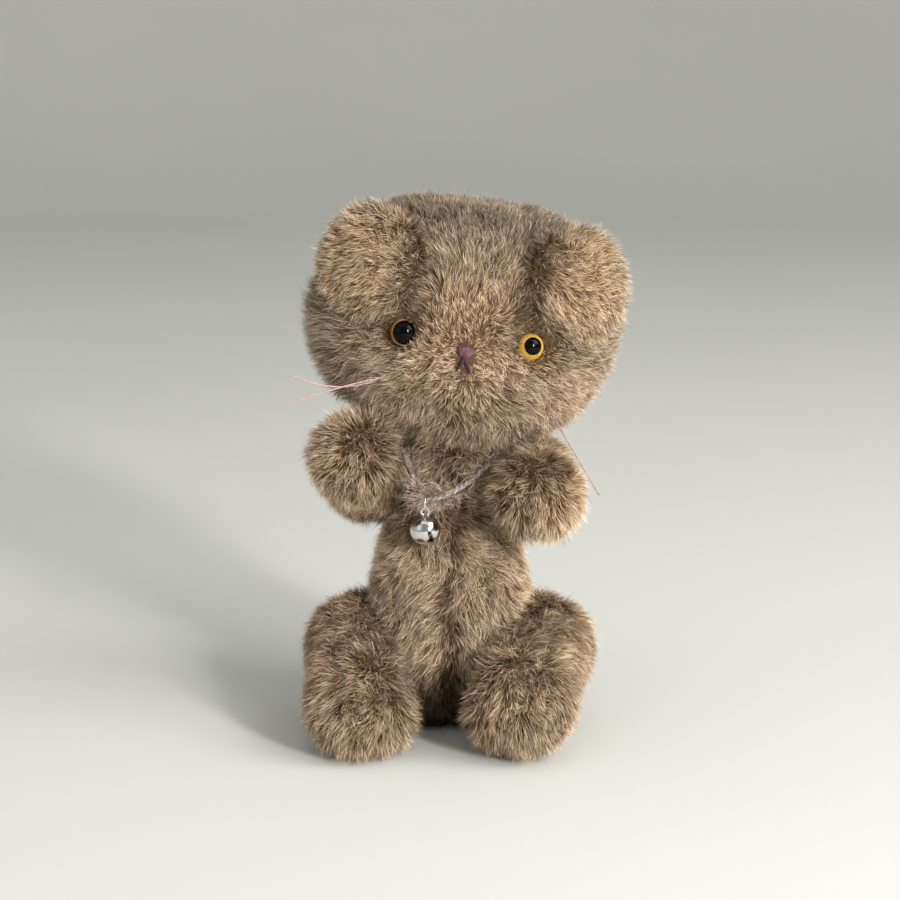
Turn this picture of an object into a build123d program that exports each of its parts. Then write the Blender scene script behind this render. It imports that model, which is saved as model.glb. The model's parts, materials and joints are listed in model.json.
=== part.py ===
from build123d import *
import os
from math import asin, cos, degrees, radians, sin, sqrt

# A jointed mohair cat, sitting. Sizes are in mm. +Z is up, the cat faces -Y, and its
# pieces on -X are called left. The origin is the centre of the torso's flat seat.

# Cloth, stuffing and gaps
FABRIC = 0.8            # backing cloth of the mohair
STUFFING_GAP = 0.1      # stuffing to cloth and to hardware
JOINT_GAP = 0.3         # cloth to cloth across a joint
SEAT_FIT = 0.05         # a hard piece seated in cloth or stuffing

# Joint hardware: two fibre discs, two steel washers and a split pin at each joint
PIN_R = 0.65
PIN_CLEARANCE = 0.08    # pin to the holes it passes through
DISC_T = 1.0
WASHER_T = 0.4
WASHER_R = 2.9
PIN_WIRE_R = 0.32
PIN_EYE_R = 0.9
PIN_CURL_R = 0.95
PIN_END_GAP = 0.1       # curled ends to the washer they hold

# Torso: a pear on a flat seat
SEAT_R = 10.0
BELLY_R = 17.2
BELLY_Z = 27.0
CHEST_R = 12.9
CHEST_Z = 52.0
NECK_R = 10.2
NECK_Z = 66.5
TORSO_OVERRUN = 4.0     # how far the pear runs past the neck joint before it is cut

# Neck joint, tilted with the head
NECK_X = 0.8
HEAD_TILT = 6.7
NECK_DISC_R = 6.3

# Shoulders
SHOULDER_X = 10.6
SHOULDER_Y = 0.5
SHOULDER_Z = 53.5
SHOULDER_LEAN = 14.0    # joint plane, following the pear's side
SHOULDER_DISC_R = 4.2

# Arms
ARM_SHOULDER_R = 8.8
ARM_WRIST_R = 7.6
ARM_PAW_R = 8.3
ARM_PAW_S = 19.0        # shoulder centre to paw centre
ARM_AXIS_OFFSET = 7.2   # arm's own axis to the joint plane
ARM_RAISE = {"left": 23.0, "right": 0.0}
ARM_SPLAY = {"left": 15.0, "right": 4.0}

# Hips
HIP_X = 12.4
HIP_Y = -1.0
HIP_Z = 19.2
HIP_LEAN = 20.0         # joint plane, following the pear's underside
HIP_DISC_R = 5.6

# Legs
LEG_THIGH_R = 10.9
LEG_SHIN_R = 10.2
LEG_FOOT_R = 10.8
LEG_FOOT_S = 26.0       # hip centre to foot centre
LEG_AXIS_OFFSET = 8.6   # leg's own axis to the joint plane
LEG_TOE_IN = {"left": -1.5, "right": 9.0}

# Head: widths and depths at heights above the neck joint
HEAD_SECTIONS = [
    (0.0, 12.5, 10.5),
    (4.0, 20.5, 17.0),
    (10.0, 26.5, 21.0),
    (18.0, 30.5, 23.5),
    (26.0, 32.0, 24.0),
    (34.0, 31.2, 23.0),
    (41.0, 27.6, 20.3),
    (46.8, 20.5, 15.6),
    (49.5, 12.0, 9.0),
]
MUZZLE_R = 9.5
MUZZLE_Y = -16.2
MUZZLE_H = 17.0
GUSSET_W = 17.0         # strip from the nose over the crown to the nape
NOSE_H = 21.2
NAPE_H = 3.0

# Ears
EAR_R = 12.2
EAR_T = 8.0
EAR_X = 21.8
EAR_Y = -15.5
EAR_H = 37.0
EAR_YAW = 30.0
EAR_PITCH = 10.0

# Eyes
EYE_R = 3.0
EYE_BACK = 1.3          # centre to the flat painted back
EYE_X = 13.4
EYE_H = 23.5
EYE_PROUD = 1.9         # how far the glass stands out of the cloth
SHANK_WIRE_R = 0.3
SHANK_LOOP_R = 0.9
SHANK_LENGTH = 3.0

# Nose and mouth stitching
NOSE_RX = 1.6
NOSE_RZ = 1.45
NOSE_PROUD = 0.9
STITCH_W = 0.55
STITCH_PROUD = 0.45
MOUTH_TOP_H = 19.2
MOUTH_LOW_H = 17.5
MOUTH_X = 1.3

# Whiskers: root, middle and tip in the head's own directions
WHISKER_R = 0.16
WHISKERS = {
    "left": [
        ((-15.2, -18.0, 14.4), (-25.9, -25.6, 11.1), (-35.1, -29, 12.9)),
        ((-14.1, -18.4, 13.7), (-25.8, -26.6, 11.0), (-34.5, -30, 7.6)),
    ],
    "right": [
        ((18.7, -14.0, 10.9), (25.1, -25.5, 3.2), (31.4, -30, -4.7)),
    ],
}

# Tail
TAIL_ROOT_R = 4.4
TAIL_TIP_R = 3.4
TAIL_LENGTH = 15.0
TAIL_Y = 12.0
TAIL_Z = 8.5
TAIL_RAISE = 20.0

# Yarn collar, with its lowest point where the ring hangs
YARN_R = 0.7
YARN_OFF = 0.5          # yarn to the torso's cloth
YARN_SLACK = 1.2        # looseness round the neck
HANG_X = -5.4
HANG_Y = -(BELLY_R + 0.3)   # so that the bell hangs clear of the belly
HANG_Z = 54.2
HANG_LEFT = 2.0         # level run of yarn on each side of the ring
HANG_RIGHT = 4.0
SHOULDER_DROP = 5.0     # how far the yarn has fallen where it passes the arms
SHOULDER_FORWARD = 3.0
NAPE_YARN_Z = 65.0
KNOT_R = 1.3            # knot at the nape

# Jump ring and bell
RING_R = 1.7
RING_WIRE_R = 0.28
BELL_R = 3.4
BELL_T = 0.35
BELL_LOOP_R = 0.85
BELL_LOOP_WIRE_R = 0.26
BELL_SLOT_W = 0.9
BELL_SLOT_REACH = 2.9
BELL_MOUTH = (0.45, -0.55, -0.70)   # the way the slot faces
PELLET_R = 1.0
LINK_FIT = 0.04         # ring to yarn, loop to ring, pellet to bell

SIDES = {"left": -1, "right": 1}

HALF_GAP = JOINT_GAP / 2
STACK = HALF_GAP + FABRIC + DISC_T + WASHER_T
HOLE_R = PIN_R + PIN_CLEARANCE


# Frames of the joints: the origin is the joint's centre, z points away from the torso

def neck_frame():
    tilt = radians(HEAD_TILT)
    return Plane(origin=(NECK_X, 0, NECK_Z), x_dir=(cos(tilt), 0, -sin(tilt)), z_dir=(sin(tilt), 0, cos(tilt)))


def limb_frame(origin, normal, raise_deg):
    """Joint frame whose x runs along the limb, raised from straight ahead."""
    n = Vector(*normal).normalized()
    ahead = Vector(0, -1, 0)
    ahead = (ahead - n * ahead.dot(n)).normalized()
    up = Vector(0, 0, 1)
    up = (up - n * up.dot(n)).normalized()
    along = ahead * cos(radians(raise_deg)) + up * sin(radians(raise_deg))
    return Plane(origin=origin, x_dir=along, z_dir=n)


def shoulder_frame(side):
    s = SIDES[side]
    lean = radians(SHOULDER_LEAN)
    normal = (s * cos(lean), 0, sin(lean))
    return limb_frame((s * SHOULDER_X, SHOULDER_Y, SHOULDER_Z), normal, ARM_RAISE[side])


def hip_frame(side):
    """The leg slopes down just enough for the foot to reach the floor."""
    s = SIDES[side]
    lean = radians(HIP_LEAN)
    toe = radians(LEG_TOE_IN[side])
    normal = (s * cos(lean) * cos(toe), -cos(lean) * sin(toe), -sin(lean))
    centre_z = HIP_Z - LEG_AXIS_OFFSET * sin(lean)
    slope = (centre_z - LEG_FOOT_R) / (LEG_FOOT_S * cos(lean))
    return limb_frame((s * HIP_X, HIP_Y, HIP_Z), normal, -degrees(asin(slope)))


NECK = neck_frame()
SHOULDERS = {side: shoulder_frame(side) for side in SIDES}
HIPS = {side: hip_frame(side) for side in SIDES}

JOINTS = {
    "neck": (NECK, NECK_DISC_R),
    "shoulder_left": (SHOULDERS["left"], SHOULDER_DISC_R),
    "shoulder_right": (SHOULDERS["right"], SHOULDER_DISC_R),
    "hip_left": (HIPS["left"], HIP_DISC_R),
    "hip_right": (HIPS["right"], HIP_DISC_R),
}


# Forms: the outer shape of each stuffed piece, shrunk by an inset

def torso_form(inset):
    with BuildPart() as form:
        with BuildSketch(Plane.XZ):
            with BuildLine():
                seat = Line((0, inset), (SEAT_R - inset, inset))
                side = Spline(
                    seat @ 1,
                    (BELLY_R - inset, BELLY_Z),
                    (CHEST_R - inset, CHEST_Z),
                    (NECK_R - inset, NECK_Z + TORSO_OVERRUN),
                    tangents=((0.8, 1.0), (0, 1)),
                )
                Line(side @ 1, (0, NECK_Z + TORSO_OVERRUN))
                Line((0, NECK_Z + TORSO_OVERRUN), (0, inset))
            make_face()
        revolve(axis=Axis.Z)
        for frame, _ in JOINTS.values():
            split(bisect_by=frame.offset(-HALF_GAP - inset), keep=Keep.BOTTOM)
    return form.part


def head_form(inset):
    with BuildPart() as form:
        for height, half_width, half_depth in HEAD_SECTIONS:
            last = height == HEAD_SECTIONS[-1][0]
            level = height - inset if last else height
            with BuildSketch(NECK.offset(level)):
                Ellipse(half_width - inset, half_depth - inset)
        loft()
        with BuildSketch(NECK.offset(MUZZLE_H)):
            with Locations((0, MUZZLE_Y)):
                Circle(MUZZLE_R - inset)
            with Locations((MUZZLE_R, MUZZLE_Y)):
                Rectangle(2 * MUZZLE_R, 2 * MUZZLE_R, mode=Mode.SUBTRACT)
        muzzle_axis = Axis(NECK.from_local_coords((0, MUZZLE_Y, MUZZLE_H)), NECK.y_dir)
        revolve(axis=muzzle_axis)
        split(bisect_by=NECK.offset(HALF_GAP + inset), keep=Keep.TOP)
    return form.part


def limb_axis(frame, offset, splay):
    """Centre line of a limb, starting over the joint and leaning away from it."""
    start = frame.from_local_coords((0, 0, offset))
    along = frame.x_dir * cos(radians(splay)) + frame.z_dir * sin(radians(splay))
    return Axis(start, along)


def limb_form(frame, offset, splay, radii, reach, inset):
    """Sausage turned about its own axis, with a flat on the joint plane."""
    root_r, waist_r, end_r = (r - inset for r in radii)
    axis = limb_axis(frame, offset, splay)
    with BuildPart() as form:
        with BuildSketch(Plane(origin=axis.position, x_dir=axis.direction, z_dir=frame.y_dir)):
            with BuildLine():
                CenterArc((0, 0), root_r, 90, 90)
                Spline((0, root_r), (reach / 2, waist_r), (reach, end_r), tangents=((1, 0), (1, 0)))
                CenterArc((reach, 0), end_r, 0, 90)
                Line((reach + end_r, 0), (-root_r, 0))
            make_face()
        revolve(axis=axis)
        split(bisect_by=frame.offset(HALF_GAP + inset), keep=Keep.TOP)
    return form.part


def arm_form(side, inset):
    radii = (ARM_SHOULDER_R, ARM_WRIST_R, ARM_PAW_R)
    return limb_form(SHOULDERS[side], ARM_AXIS_OFFSET, ARM_SPLAY[side], radii, ARM_PAW_S, inset)


def leg_form(side, inset):
    radii = (LEG_THIGH_R, LEG_SHIN_R, LEG_FOOT_R)
    return limb_form(HIPS[side], LEG_AXIS_OFFSET, 0, radii, LEG_FOOT_S, inset)


def tail_form(inset):
    lift = radians(TAIL_RAISE)
    axis = Axis((0, TAIL_Y, TAIL_Z), (0, cos(lift), sin(lift)))
    with BuildPart() as form:
        with BuildSketch(Plane(origin=axis.position, x_dir=axis.direction, z_dir=(1, 0, 0))):
            with BuildLine():
                Line((0, TAIL_ROOT_R - inset), (TAIL_LENGTH, TAIL_TIP_R - inset))
                CenterArc((TAIL_LENGTH, 0), TAIL_TIP_R - inset, 0, 90)
                Line((TAIL_LENGTH + TAIL_TIP_R - inset, 0), (0, 0))
                Line((0, 0), (0, TAIL_ROOT_R - inset))
            make_face()
        revolve(axis=axis)
    return form.part


TORSO = torso_form(0)
HEAD = head_form(0)


def finish(piece, name):
    piece.label = name
    export_step(piece, f"parts/{name}.step")


os.makedirs("parts", exist_ok=True)


# Torso: two panels sewn down the front and the back, and the stuffing

def pin_holes(frames):
    """Holes for the pins, cut through whatever stands at the joints."""
    for frame in frames:
        with BuildSketch(frame) as hole:
            Circle(HOLE_R)
        extrude(hole.sketch, amount=STACK, both=True, mode=Mode.SUBTRACT)


with BuildPart() as torso_shell:
    add(TORSO)
    add(torso_form(FABRIC), mode=Mode.SUBTRACT)
    pin_holes([frame for frame, _ in JOINTS.values()])

for side, keep in (("left", Keep.BOTTOM), ("right", Keep.TOP)):
    with BuildPart() as torso_panel:
        add(torso_shell.part)
        split(bisect_by=Plane.YZ, keep=keep)
    finish(torso_panel.part, f"torso_{side}_panel")


def hardware_pocket(frame, disc_r, outward):
    """Room in the stuffing for a disc, a washer and the end of the pin."""
    reach = PIN_END_GAP + 2 * (PIN_EYE_R + 2 * PIN_WIRE_R) + STUFFING_GAP
    with BuildSketch(frame) as disc_room:
        Circle(disc_r + STUFFING_GAP)
    extrude(disc_room.sketch, amount=outward * (STACK + STUFFING_GAP), mode=Mode.SUBTRACT)
    with BuildSketch(frame) as pin_room:
        Circle(WASHER_R + STUFFING_GAP)
    extrude(pin_room.sketch, amount=outward * (STACK + reach), mode=Mode.SUBTRACT)


with BuildPart() as torso_stuffing:
    add(torso_form(FABRIC + STUFFING_GAP))
    for frame, disc_r in JOINTS.values():
        hardware_pocket(frame, disc_r, -1)
finish(torso_stuffing.part, "torso_stuffing")


# Joint hardware

def ring_plate(frame, level, thickness, radius):
    """Flat ring on a joint's axis, from level along z."""
    with BuildSketch(frame.offset(level)) as plate:
        Circle(radius)
        Circle(HOLE_R, mode=Mode.SUBTRACT)
    extrude(plate.sketch, amount=thickness)


def pin_curl(frame, direction):
    """One end of the split pin, bent outwards and back against the washer."""
    start = -STACK - PIN_END_GAP
    hinge = direction * (PIN_WIRE_R + PIN_CURL_R)
    with BuildSketch(frame.offset(start)) as leg:
        with Locations((direction * PIN_WIRE_R, 0)):
            Circle(PIN_WIRE_R)
    curl_axis = Axis(frame.from_local_coords((hinge, 0, start)), frame.y_dir * -direction)
    revolve(leg.sketch, axis=curl_axis, revolution_arc=180)


with BuildPart() as torso_washers:
    for frame, _ in JOINTS.values():
        ring_plate(frame, -STACK, WASHER_T, WASHER_R)
finish(torso_washers.part, "torso_washers")

for joint, (frame, disc_r) in JOINTS.items():
    with BuildPart() as torso_disc:
        ring_plate(frame, -STACK + WASHER_T, DISC_T, disc_r)
    finish(torso_disc.part, f"{joint}_torso_disc")

    with BuildPart() as outer_disc:
        ring_plate(frame, HALF_GAP + FABRIC, DISC_T, disc_r)
    finish(outer_disc.part, f"{joint}_outer_disc")

    with BuildPart() as outer_washer:
        ring_plate(frame, STACK - WASHER_T, WASHER_T, WASHER_R)
    finish(outer_washer.part, f"{joint}_outer_washer")

    with BuildPart() as split_pin:
        with BuildSketch(frame.offset(-STACK - PIN_END_GAP)):
            Circle(PIN_R)
        extrude(amount=2 * STACK + PIN_END_GAP + 2 * PIN_WIRE_R)
        pin_curl(frame, 1)
        pin_curl(frame, -1)
        eye_middle = frame.from_local_coords((0, 0, STACK + PIN_WIRE_R + PIN_EYE_R))
        with Locations(Plane(origin=eye_middle, x_dir=frame.x_dir, z_dir=frame.y_dir)):
            Torus(PIN_EYE_R, PIN_WIRE_R)
    finish(split_pin.part, f"{joint}_pin")


# Limbs: an inner and an outer panel each, and the stuffing

def make_limb(name, form, frame, disc_r, offset, splay):
    axis = limb_axis(frame, offset, splay)
    seam = Plane(origin=axis.position, x_dir=axis.direction, z_dir=axis.direction.cross(frame.y_dir))
    with BuildPart() as shell:
        add(form(0))
        add(form(FABRIC), mode=Mode.SUBTRACT)
        pin_holes([frame])
    for panel_name, keep in (("inner", Keep.BOTTOM), ("outer", Keep.TOP)):
        with BuildPart() as panel:
            add(shell.part)
            split(bisect_by=seam, keep=keep)
        finish(panel.part, f"{name}_{panel_name}_panel")
    with BuildPart() as stuffing:
        add(form(FABRIC + STUFFING_GAP))
        hardware_pocket(frame, disc_r, 1)
    finish(stuffing.part, f"{name}_stuffing")


for side in SIDES:
    make_limb(
        f"arm_{side}",
        lambda inset: arm_form(side, inset),
        SHOULDERS[side],
        SHOULDER_DISC_R,
        ARM_AXIS_OFFSET,
        ARM_SPLAY[side],
    )
    make_limb(
        f"leg_{side}",
        lambda inset: leg_form(side, inset),
        HIPS[side],
        HIP_DISC_R,
        LEG_AXIS_OFFSET,
        0,
    )


# Tail

with BuildPart() as tail_panel:
    add(tail_form(0))
    add(tail_form(FABRIC), mode=Mode.SUBTRACT)
    add(TORSO, mode=Mode.SUBTRACT)
finish(tail_panel.part, "tail_panel")

with BuildPart() as tail_stuffing:
    add(tail_form(FABRIC + STUFFING_GAP))
    add(TORSO, mode=Mode.SUBTRACT)
finish(tail_stuffing.part, "tail_stuffing")


# Head: two side panels, a gusset between them, and the stuffing

def head_section_at(height):
    """Half width and half depth of the head at a height above the neck joint."""
    for low, high in zip(HEAD_SECTIONS, HEAD_SECTIONS[1:]):
        if height <= high[0]:
            share = (height - low[0]) / (high[0] - low[0])
            return tuple(a + share * (b - a) for a, b in zip(low[1:], high[1:]))
    return HEAD_SECTIONS[-1][1:]


def face_y(x, height):
    """Depth of the head's front at a place on the face, muzzle left out."""
    half_width, half_depth = head_section_at(height)
    return -half_depth * sqrt(1 - (x / half_width) ** 2)


def eye_centre(side):
    x = SIDES[side] * EYE_X
    return NECK.from_local_coords((x, face_y(x, EYE_H) + EYE_R - EYE_PROUD, EYE_H))


def eye_sockets(fit):
    """Hollows that the glass eyes and their wire loops sit in."""
    for side in SIDES:
        centre = eye_centre(side)
        with Locations(centre):
            Sphere(EYE_R + fit, mode=Mode.SUBTRACT)
        with BuildSketch(Plane(origin=centre, x_dir=NECK.x_dir, z_dir=NECK.y_dir)) as well:
            Circle(2 * SHANK_LOOP_R + SHANK_WIRE_R + fit)
        depth = EYE_BACK + SHANK_LENGTH + 2 * (SHANK_LOOP_R + SHANK_WIRE_R) + STUFFING_GAP
        extrude(well.sketch, amount=depth, mode=Mode.SUBTRACT)


def gusset_block(mode):
    """The strip's width, above the line from the nose back to the nape."""
    front = HEAD_SECTIONS[4][2] + MUZZLE_R
    crown = HEAD_SECTIONS[-1][0] + MUZZLE_R
    with BuildSketch(Plane(origin=NECK.origin, x_dir=NECK.y_dir, z_dir=NECK.x_dir)) as strip:
        Polygon((-front, NOSE_H), (front, NAPE_H), (front, crown), (-front, crown), align=None)
    extrude(strip.sketch, amount=GUSSET_W / 2, both=True, mode=mode)


with BuildPart() as head_shell:
    add(HEAD)
    add(head_form(FABRIC), mode=Mode.SUBTRACT)
    pin_holes([NECK])
    eye_sockets(SEAT_FIT)

with BuildPart() as head_gusset:
    add(head_shell.part)
    gusset_block(Mode.INTERSECT)
finish(head_gusset.part, "head_gusset")

MIDDLE = Plane(origin=NECK.origin, x_dir=NECK.y_dir, z_dir=NECK.x_dir)
for side, keep in (("left", Keep.BOTTOM), ("right", Keep.TOP)):
    with BuildPart() as head_panel:
        add(head_shell.part)
        split(bisect_by=MIDDLE, keep=keep)
        gusset_block(Mode.SUBTRACT)
    finish(head_panel.part, f"head_{side}_panel")

with BuildPart() as head_stuffing:
    add(head_form(FABRIC + STUFFING_GAP))
    hardware_pocket(NECK, NECK_DISC_R, 1)
    eye_sockets(STUFFING_GAP)
finish(head_stuffing.part, "head_stuffing")


# Ears: a front and a back cloth, sewn to the side of the head

EAR_ARC_R = (EAR_R ** 2 + (EAR_T / 2) ** 2) / EAR_T


def ear_half(frame, direction):
    """One face of the ear, a shallow dome on its middle plane."""
    crown = direction * EAR_T / 2
    with BuildSketch(Plane(origin=frame.origin, x_dir=frame.x_dir, z_dir=-frame.y_dir)) as profile:
        with BuildLine():
            Line((0, 0), (EAR_R, 0))
            RadiusArc((EAR_R, 0), (0, crown), -direction * EAR_ARC_R)
            Line((0, crown), (0, 0))
        make_face()
    revolve(profile.sketch, axis=Axis(frame.origin, frame.z_dir))
    add(HEAD, mode=Mode.SUBTRACT)


for side, s in SIDES.items():
    yaw = radians(EAR_YAW)
    pitch = radians(EAR_PITCH)
    facing = (
        NECK.x_dir * (s * sin(yaw) * cos(pitch))
        - NECK.y_dir * (cos(yaw) * cos(pitch))
        + NECK.z_dir * sin(pitch)
    )
    ear_frame = Plane(origin=NECK.from_local_coords((s * EAR_X, EAR_Y, EAR_H)), z_dir=facing)
    with BuildPart() as ear_front:
        ear_half(ear_frame, 1)
    finish(ear_front.part, f"ear_{side}_front")
    with BuildPart() as ear_back:
        ear_half(ear_frame, -1)
    finish(ear_back.part, f"ear_{side}_back")


# Eyes: glass with a flat painted back, on a wire loop

for side in SIDES:
    centre = eye_centre(side)
    back = Plane(origin=centre, x_dir=NECK.x_dir, z_dir=NECK.y_dir).offset(EYE_BACK)
    with BuildPart() as eye_glass:
        with Locations(centre):
            Sphere(EYE_R)
        split(bisect_by=back, keep=Keep.BOTTOM)
    finish(eye_glass.part, f"eye_{side}_glass")

    with BuildPart() as eye_shank:
        with BuildLine(Plane(origin=back.origin, x_dir=NECK.x_dir, z_dir=NECK.z_dir)) as wire:
            Line((0, 0), (0, SHANK_LENGTH))
            CenterArc((SHANK_LOOP_R, SHANK_LENGTH), SHANK_LOOP_R, 180, -270)
        with BuildSketch(back):
            Circle(SHANK_WIRE_R)
        sweep(path=wire.line)
    finish(eye_shank.part, f"eye_{side}_shank")


# Nose and mouth, satin stitched on the muzzle

FACE = Plane(origin=NECK.origin, x_dir=NECK.x_dir, z_dir=-NECK.y_dir)


def muzzle_depth(height):
    """Distance of the muzzle's front from the neck's axis at a height."""
    core = -face_y(0, height)
    bump = sqrt(max(MUZZLE_R ** 2 - (height - MUZZLE_H) ** 2, 0)) - MUZZLE_Y
    return max(core, bump)


with BuildPart() as nose:
    with BuildSketch(FACE.offset(muzzle_depth(NOSE_H) + NOSE_PROUD)):
        with Locations((0, NOSE_H)):
            Ellipse(NOSE_RX, NOSE_RZ)
    extrude(amount=-2 * NOSE_PROUD, taper=-12)
    add(HEAD, mode=Mode.SUBTRACT)
finish(nose.part, "nose")


def stitch(start, end):
    """A thread laid on the face from one point to another."""
    middle = ((start[0] + end[0]) / 2, (start[1] + end[1]) / 2)
    depth = muzzle_depth(middle[1])
    with BuildSketch(FACE.offset(depth + STITCH_PROUD)) as outline:
        SlotCenterPoint(middle, end, STITCH_W)
    extrude(outline.sketch, amount=-2.5 * STITCH_PROUD)


with BuildPart() as mouth:
    for end_x in (-MOUTH_X, MOUTH_X):
        stitch((end_x / 4, MOUTH_TOP_H), (end_x, MOUTH_LOW_H))
    add(HEAD, mode=Mode.SUBTRACT)
finish(mouth.part, "mouth_stitches")


# Whiskers: waxed threads, each one bent to a single arc

def thread(points, radius):
    root, middle, tip = (NECK.from_local_coords(point) for point in points)
    with BuildLine() as path:
        ThreePointArc(root, middle, tip)
    with BuildSketch(Plane(origin=path.line @ 0, z_dir=path.line % 0)) as section:
        Circle(radius)
    sweep(section.sketch, path=path.line)


for side, threads in WHISKERS.items():
    with BuildPart() as whiskers:
        for points in threads:
            thread(points, WHISKER_R)
        add(HEAD, mode=Mode.SUBTRACT)
    finish(whiskers.part, f"whiskers_{side}")


# Collar: a yarn round the neck that dips to the bell

def collar_path():
    """Points from the knot round the neck, down to the ring and back up to the knot."""
    round_r = NECK_R + YARN_OFF + YARN_R + YARN_SLACK
    side = 0.7 * round_r
    front = -side - SHOULDER_FORWARD
    return [
        (KNOT_R / 2, round_r, NAPE_YARN_Z),
        (side, side, NAPE_YARN_Z - 0.5),
        (round_r - 1.0, -1.0, NAPE_YARN_Z - 1.0),
        (side - 0.3, front, NAPE_YARN_Z - SHOULDER_DROP),
        (HANG_X + HANG_RIGHT, HANG_Y, HANG_Z),
        (HANG_X - HANG_LEFT, HANG_Y, HANG_Z),
        (-side, front + 0.3, NAPE_YARN_Z - SHOULDER_DROP + 1.0),
        (1.0 - round_r, -2.0, NAPE_YARN_Z),
        (-side, side, NAPE_YARN_Z),
        (-KNOT_R / 2, round_r, NAPE_YARN_Z),
    ]


def corner_radius(before, corner, after):
    """The largest arc that a corner's two runs allow, with some straight left."""
    incoming = Vector(*corner) - Vector(*before)
    outgoing = Vector(*after) - Vector(*corner)
    half_turn = radians(incoming.get_angle(outgoing)) / 2
    return 0.45 * min(incoming.length, outgoing.length) * cos(half_turn) / sin(half_turn)


route = collar_path()
radii = [corner_radius(*route[i:i + 3]) for i in range(len(route) - 2)]
print("collar radii", [round(radius, 1) for radius in radii])
with BuildPart() as collar:
    with BuildLine() as yarn:
        FilletPolyline(*route, radius=radii)
    with BuildSketch(Plane(origin=yarn.line @ 0, z_dir=yarn.line % 0)):
        Circle(YARN_R)
    sweep(path=yarn.line)
    with Locations(Plane(origin=(0, route[0][1], NAPE_YARN_Z), z_dir=(1, 0, 0))):
        Cylinder(KNOT_R, 2 * KNOT_R)
finish(collar.part, "collar_yarn")
print("collar length", round(sum(edge.length for edge in yarn.edges()), 1))


# Jump ring on the yarn, and the bell on the ring

RING_CENTRE = Vector(HANG_X, HANG_Y, HANG_Z - (RING_R - RING_WIRE_R - YARN_R - LINK_FIT))
RING_LOW = RING_CENTRE - Vector(0, 0, RING_R)
LOOP_CENTRE = RING_LOW - Vector(0, 0, BELL_LOOP_R - BELL_LOOP_WIRE_R - RING_WIRE_R - LINK_FIT)
BELL_CENTRE = LOOP_CENTRE - Vector(0, 0, BELL_LOOP_R + BELL_R - BELL_LOOP_WIRE_R / 2)
PELLET_CENTRE = BELL_CENTRE - Vector(0, 0, BELL_R - BELL_T - PELLET_R - LINK_FIT)

with BuildPart() as jump_ring:
    with Locations(Plane(origin=RING_CENTRE, z_dir=(1, 0, 0))):
        Torus(RING_R, RING_WIRE_R)
finish(jump_ring.part, "jump_ring")

with BuildPart() as bell:
    with BuildSketch(Plane(origin=BELL_CENTRE, x_dir=(1, 0, 0), z_dir=(0, -1, 0))):
        Circle(BELL_R)
        Circle(BELL_R - BELL_T, mode=Mode.SUBTRACT)
        with Locations((-BELL_R, 0)):
            Rectangle(2 * BELL_R, 2 * BELL_R, mode=Mode.SUBTRACT)
    revolve(axis=Axis(BELL_CENTRE, (0, 0, 1)))
    with BuildSketch(Plane(origin=BELL_CENTRE, z_dir=BELL_MOUTH)):
        SlotOverall(2 * BELL_SLOT_REACH, BELL_SLOT_W)
    extrude(amount=2 * BELL_R, mode=Mode.SUBTRACT)
    with Locations(Plane(origin=LOOP_CENTRE, z_dir=(0, 1, 0))):
        Torus(BELL_LOOP_R, BELL_LOOP_WIRE_R)
finish(bell.part, "bell")

with BuildPart() as pellet:
    with Locations(PELLET_CENTRE):
        Sphere(PELLET_R)
finish(pellet.part, "bell_pellet")
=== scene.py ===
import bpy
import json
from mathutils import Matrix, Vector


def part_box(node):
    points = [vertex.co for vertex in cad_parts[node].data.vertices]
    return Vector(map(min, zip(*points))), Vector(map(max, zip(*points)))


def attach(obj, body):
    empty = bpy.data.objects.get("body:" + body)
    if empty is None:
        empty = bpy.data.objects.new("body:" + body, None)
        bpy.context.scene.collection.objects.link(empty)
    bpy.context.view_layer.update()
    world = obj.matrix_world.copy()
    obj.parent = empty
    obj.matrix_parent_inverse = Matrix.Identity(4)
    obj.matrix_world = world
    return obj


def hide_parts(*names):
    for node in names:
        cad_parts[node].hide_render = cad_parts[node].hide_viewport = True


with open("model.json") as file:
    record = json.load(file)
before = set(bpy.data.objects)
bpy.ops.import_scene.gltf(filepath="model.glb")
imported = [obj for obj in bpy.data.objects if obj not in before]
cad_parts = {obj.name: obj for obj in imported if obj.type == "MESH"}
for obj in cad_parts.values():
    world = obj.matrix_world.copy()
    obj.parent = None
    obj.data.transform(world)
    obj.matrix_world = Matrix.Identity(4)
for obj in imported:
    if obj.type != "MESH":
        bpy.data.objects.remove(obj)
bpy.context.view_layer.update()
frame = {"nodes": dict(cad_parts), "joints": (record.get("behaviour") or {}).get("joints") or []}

import json
import math

import bmesh
import bpy
import numpy as np
from mathutils import Vector
from mathutils.bvhtree import BVHTree
from mathutils.kdtree import KDTree

MM = 0.001
RNG = np.random.default_rng(7)

# Skins under the pile
VOXEL = 0.7 * MM
SMOOTH_PASSES = 8
WELT_DEPTH = 0.45 * MM      # how far a sewn seam pulls the cloth in
WELT_WIDTH = 1.3 * MM

# Pile: fibres are flat ribbons that taper to a tip
PILE_PER_MM2 = 16.0
PILE_LENGTH = 4.8 * MM
FIBRE_WIDTH = 0.105 * MM
FIBRE_STEPS = np.array([0.0, 0.5, 1.0])
FIBRE_TAPER = np.array([1.0, 0.85, 0.0])
CLUMP_SIZE = 7              # fibres that lean together
TUFT_SWAY = 0.34            # how far a tuft, and then each fibre, strays from the comb
FIBRE_SWAY = 0.28
FIBRE_KINK = 0.12 * MM
STEEPEST = 0.05             # bend of a fibre from upright, in radians
FLATTEST = 1.45
FLOOR_CLEAR = 0.15 * MM
LONGEST = 8 * MM            # no fibre is longer than this
MOST_FIBRES = 64000         # in one piece

# Shades of the pile: bands of the shade map, each with its own tint
BANDS = 8
SHADES_PER_BAND = 16
SHADES = BANDS * SHADES_PER_BAND
HEATHER, GREY, GOLD, MAUVE, UMBER, CREAM, YARN, WARM = range(BANDS)

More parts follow.
